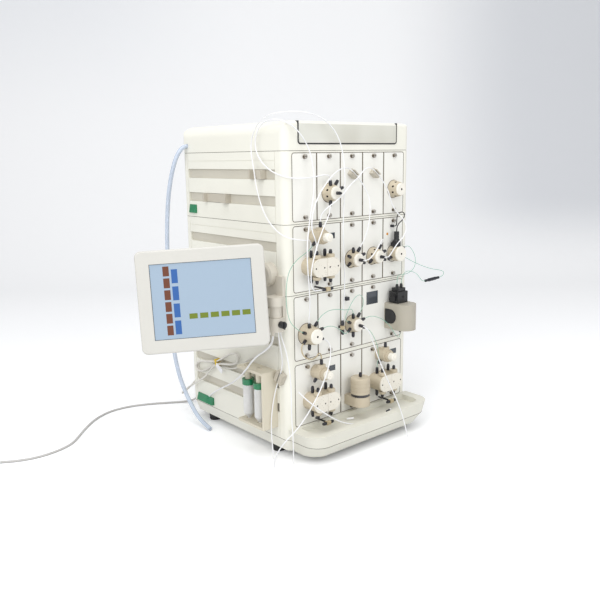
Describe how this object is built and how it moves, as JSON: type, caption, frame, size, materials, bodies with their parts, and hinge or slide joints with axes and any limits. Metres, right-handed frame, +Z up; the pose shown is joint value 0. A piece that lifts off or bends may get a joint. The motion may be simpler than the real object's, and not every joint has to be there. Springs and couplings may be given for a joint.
{
  "type": "fast protein liquid chromatography system",
  "caption": "Bench chromatography cabinet with stacked module bays, valves, twin-head pumps, mixer, detector, drip tray and a touch screen on a swing arm at its left side.",
  "frame": {"origin": "on the bench surface, at the middle of the pattern of foot screws under the cabinet", "axes": "+X to the cabinet's right seen from the front, +Y to its back, +Z up"},
  "size_m": [1.3748, 0.8006, 0.9111],
  "materials": {
    "ivory_shell": "satin",
    "grey_beige_rail": "matte",
    "dark_trim": "satin",
    "plate": "satin",
    "black_rubber": "matte",
    "tray_plastic": "satin",
    "rear_sheet": "satin",
    "black_plastic": "satin",
    "window": "gloss",
    "panel_paint": "satin",
    "chassis_steel": "brushed",
    "screw_steel": "knurled",
    "valve_plastic": "satin",
    "pale_face": "satin",
    "nut_plastic": "satin",
    "steel": "turned",
    "stirrer": "satin",
    "green_plastic": "satin",
    "vial_plastic": "frosted",
    "display_cream": "satin",
    "screen": "lit screen",
    "arm_paint": "satin",
    "hose_clear": "translucent",
    "cable_black": "satin",
    "mains_grey": "satin",
    "cable_grey": "satin",
    "tube_white": "translucent",
    "capillary_green": "satin",
    "connector_black": "satin"
  },
  "bodies": {
    "cabinet": {"lower_tier_shell": "ivory_shell", "middle_tier_shell": "ivory_shell", "upper_tier_shell": "ivory_shell", "accessory_rails": "grey_beige_rail", "cap_cover": "ivory_shell", "nameplate_frame": "dark_trim", "nameplate": "plate", "base_pan": "ivory_shell", "rubber_feet": "black_rubber", "drip_tray": "tray_plastic", "drip_tray_base": "tray_plastic", "rear_panels": "rear_sheet", "fan_frame": "black_plastic", "power_inlet": "black_plastic", "status_windows": "window", "module_panels": "panel_paint", "module_chassis": "chassis_steel", "thumbscrews": "screw_steel", "valve_heads": "valve_plastic", "valve_faces": "pale_face", "fittings": "nut_plastic", "ph_electrode": "black_plastic", "pump_heads": "valve_plastic", "pump_head_plates": "pale_face", "pump_valve_bodies": "valve_plastic", "mixer_housing": "valve_plastic", "detector_housing": "valve_plastic", "flow_cell": "black_plastic", "tube_clips": "valve_plastic", "green_tabs": "green_plastic", "tube_rack": "valve_plastic", "sample_tubes": "vial_plastic", "tube_caps": "green_plastic", "arm_bracket": "arm_paint", "waste_hose": "hose_clear", "mains_cable": "mains_grey", "mains_cable_coil": "mains_grey", "mains_plug": "mains_grey", "display_cable": "cable_grey", "display_cable_coil": "cable_grey", "side_lines": "tube_white", "flow_lines": "tube_white", "capillaries": "capillary_green", "electrode_cable": "cable_black", "inline_connector": "connector_black"},
    "fan": {"fan_rotor": "black_plastic"},
    "power_rocker": {"power_switch": "black_plastic"},
    "inject_rotor": {"inject_valve_rotor": "steel"},
    "purge_knob_1": {"pump_1_purge_knob": "pale_face"},
    "purge_knob_2": {"pump_2_purge_knob": "pale_face"},
    "purge_knob_3": {"pump_3_purge_knob": "pale_face"},
    "pistons_left": {"pump_pistons_left": "steel"},
    "pistons_right": {"pump_pistons_right": "steel"},
    "stirrer": {"mixer_stirrer": "stirrer"},
    "arm": {"display_arm": "arm_paint"},
    "yoke": {"display_yoke": "arm_paint"},
    "display": {"display_bezel": "display_cream", "display_screen": "screen", "display_housing": "display_cream"},
    "lock_knob": {"arm_lock_knob": "black_plastic"}
  },
  "joints": [
    {"name": "fan_spin", "type": "hinge", "parent": "cabinet", "child": "fan", "pos_m": [0.15, 0.217, 0.17325], "axis": [0, 1, 0], "continuous": true},
    {"name": "power_rock", "type": "hinge", "parent": "cabinet", "child": "power_rocker", "pos_m": [-0.15, 0.23, 0.15925], "axis": [1, 0, 0], "range_deg": [-8, 8]},
    {"name": "inject_turn", "type": "hinge", "parent": "cabinet", "child": "inject_rotor", "pos_m": [-0.168, -0.237, 0.3395], "axis": [0, -1, 0], "range_deg": [0, 45]},
    {"name": "purge_1_turn", "type": "hinge", "parent": "cabinet", "child": "purge_knob_1", "pos_m": [-0.1365, -0.29, 0.597], "axis": [0, -1, 0], "range_deg": [-180, 90]},
    {"name": "purge_2_turn", "type": "hinge", "parent": "cabinet", "child": "purge_knob_2", "pos_m": [-0.1365, -0.29, 0.23], "axis": [0, -1, 0], "range_deg": [-180, 90]},
    {"name": "purge_3_turn", "type": "hinge", "parent": "cabinet", "child": "purge_knob_3", "pos_m": [0.1155, -0.29, 0.23], "axis": [0, -1, 0], "range_deg": [-180, 90]},
    {"name": "pistons_left_stroke", "type": "slide", "parent": "cabinet", "child": "pistons_left", "axis": [0, -1, 0], "range_m": [-0.006, 0.006]},
    {"name": "pistons_right_stroke", "type": "slide", "parent": "cabinet", "child": "pistons_right", "axis": [0, -1, 0], "range_m": [-0.006, 0.006]},
    {"name": "stirrer_spin", "type": "hinge", "parent": "cabinet", "child": "stirrer", "pos_m": [0, -0.273, 0.149], "axis": [0, 0, 1], "continuous": true},
    {"name": "arm_swing", "type": "hinge", "parent": "cabinet", "child": "arm", "pos_m": [-0.261, -0.223, 0.413], "axis": [0, 0, 1], "range_deg": [-25, 30]},
    {"name": "display_swivel", "type": "hinge", "parent": "arm", "child": "yoke", "pos_m": [-0.38353, -0.08428, 0.413], "axis": [0, 0, 1], "range_deg": [-40, 0]},
    {"name": "display_tilt", "type": "hinge", "parent": "yoke", "child": "display", "pos_m": [-0.40288, -0.11223, 0.45363], "axis": [0.8221, -0.5693, 0], "range_deg": [-12, 12]},
    {"name": "lock_turn", "type": "hinge", "parent": "cabinet", "child": "lock_knob", "pos_m": [-0.261, -0.252, 0.382], "axis": [0, -1, 0], "range_deg": [-180, 180]}
  ],
  "couplings": [
    {"joint": "pistons_right_stroke", "follows": "pistons_left_stroke", "ratio": -1}
  ]
}
